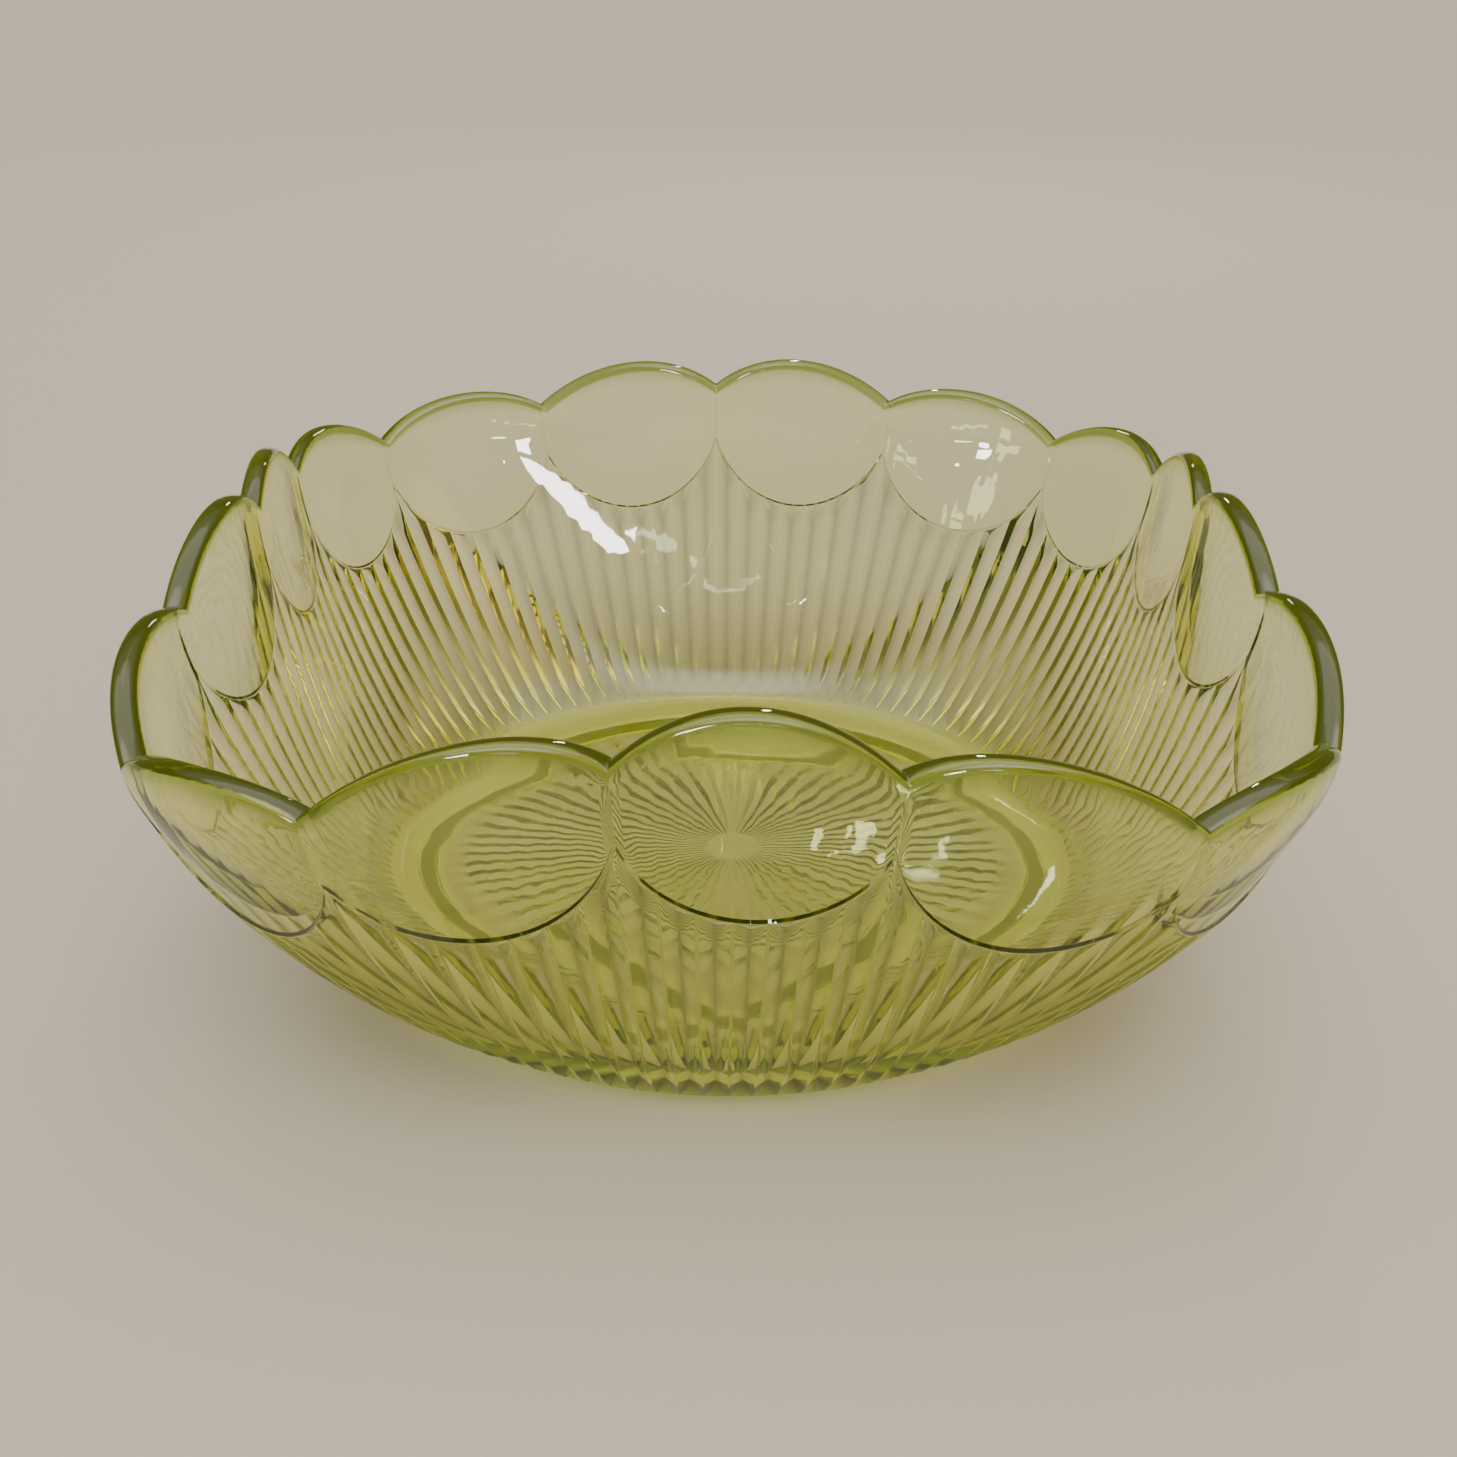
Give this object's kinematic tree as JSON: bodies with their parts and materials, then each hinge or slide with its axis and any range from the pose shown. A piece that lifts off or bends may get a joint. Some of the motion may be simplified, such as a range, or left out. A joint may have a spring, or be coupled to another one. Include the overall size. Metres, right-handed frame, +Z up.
{
  "type": "pressed-glass bowl",
  "caption": "Uranium glass bowl in pressed glass, with a scalloped rim over round panels, ribbed sides and a star-cut base.",
  "frame": {"origin": "centre of the foot ring's resting face, on the surface the bowl stands on", "axes": "+Z up through the bowl's mouth, +Y towards the back of the bowl, +X to the right; the middles of the four raised sides lie on X and Y"},
  "size_m": [0.2086, 0.2086, 0.0916],
  "materials": {
    "uranium_glass": "fire-polished, clear yellow-green"
  },
  "bodies": {
    "root": {"bowl": "uranium_glass"}
  },
  "joints": []
}
